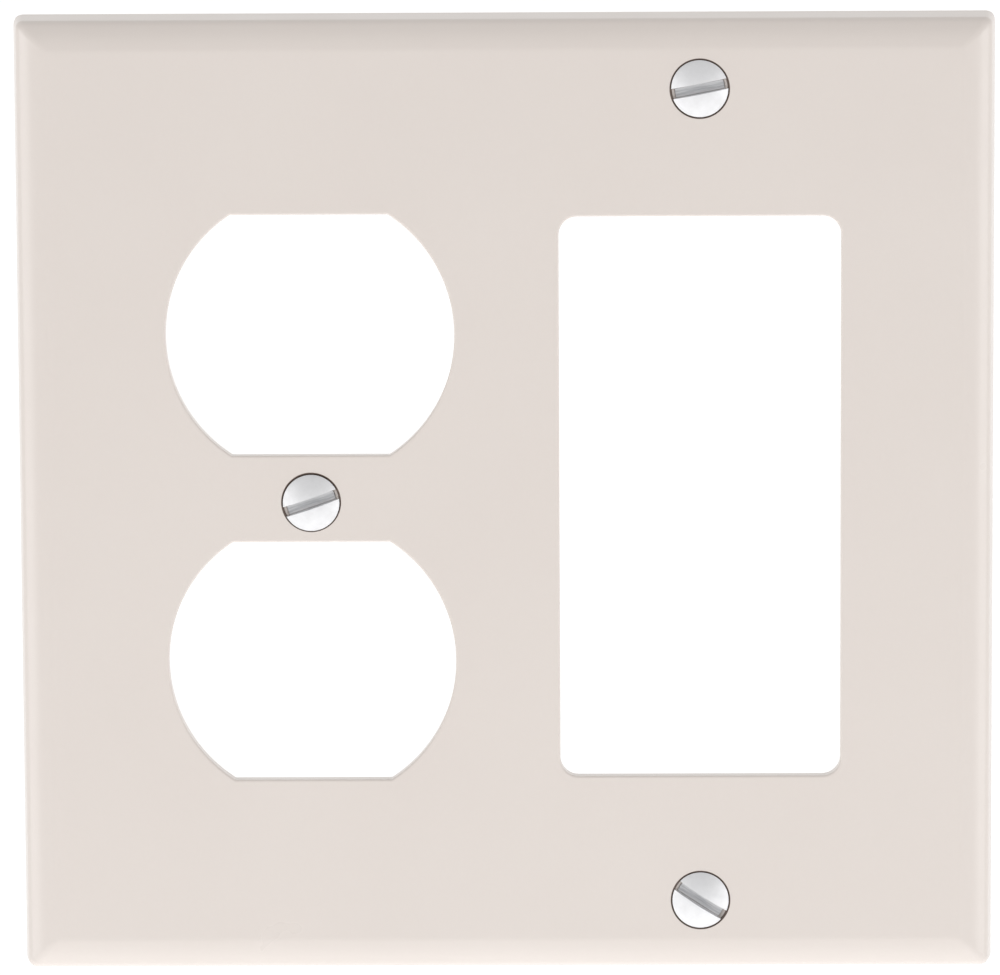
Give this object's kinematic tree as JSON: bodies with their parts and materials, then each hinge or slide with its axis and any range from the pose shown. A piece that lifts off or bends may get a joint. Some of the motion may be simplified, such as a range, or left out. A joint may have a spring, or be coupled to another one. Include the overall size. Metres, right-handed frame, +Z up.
{
  "type": "wall plate cover",
  "caption": "Bevelled wall plate cover with duplex receptacle openings on the left, a decorator opening on the right, and slotted oval-head mounting screws in retaining washers.",
  "frame": {"origin": "centre of the plate on the wall plane, which its back rim touches", "axes": "+Z up on the wall, +X to the right as seen from the room, -Y out of the wall towards the room"},
  "size_m": [0.1158, 0.0136, 0.1142],
  "materials": {
    "almond_plastic": "smooth moulded light almond thermoset plastic with a soft gloss",
    "plated_steel": "bright zinc-plated steel, unpainted",
    "nylon": "natural nylon, slightly cloudy"
  },
  "bodies": {
    "plate": {"faceplate": "almond_plastic"},
    "duplex_washer": {"duplex_washer": "nylon"},
    "duplex_screw": {"duplex_screw": "plated_steel"},
    "decorator_upper_washer": {"decorator_upper_washer": "nylon"},
    "decorator_upper_screw": {"decorator_upper_screw": "plated_steel"},
    "decorator_lower_washer": {"decorator_lower_washer": "nylon"},
    "decorator_lower_screw": {"decorator_lower_screw": "plated_steel"}
  },
  "joints": [
    {"name": "duplex_screw_travel", "type": "slide", "parent": "plate", "child": "duplex_washer", "axis": [0, -1, 0], "range_m": [0, 0.00238]},
    {"name": "duplex_screw_turn", "type": "hinge", "parent": "duplex_washer", "child": "duplex_screw", "pos_m": [-0.02302, 0, -0.00047], "axis": [0, -1, 0], "range_deg": [0, 1080]},
    {"name": "decorator_upper_screw_travel", "type": "slide", "parent": "plate", "child": "decorator_upper_washer", "axis": [0, -1, 0], "range_m": [0, 0.00238]},
    {"name": "decorator_upper_screw_turn", "type": "hinge", "parent": "decorator_upper_washer", "child": "decorator_upper_screw", "pos_m": [0.02302, 0, 0.04841], "axis": [0, -1, 0], "range_deg": [0, 1080]},
    {"name": "decorator_lower_screw_travel", "type": "slide", "parent": "plate", "child": "decorator_lower_washer", "axis": [0, -1, 0], "range_m": [0, 0.00238]},
    {"name": "decorator_lower_screw_turn", "type": "hinge", "parent": "decorator_lower_washer", "child": "decorator_lower_screw", "pos_m": [0.02302, 0, -0.04841], "axis": [0, -1, 0], "range_deg": [0, 1080]}
  ],
  "couplings": [
    {"joint": "duplex_screw_turn", "follows": "duplex_screw_travel", "rad_per_m": 7915.8},
    {"joint": "decorator_upper_screw_turn", "follows": "decorator_upper_screw_travel", "rad_per_m": 7915.8},
    {"joint": "decorator_lower_screw_turn", "follows": "decorator_lower_screw_travel", "rad_per_m": 7915.8}
  ]
}
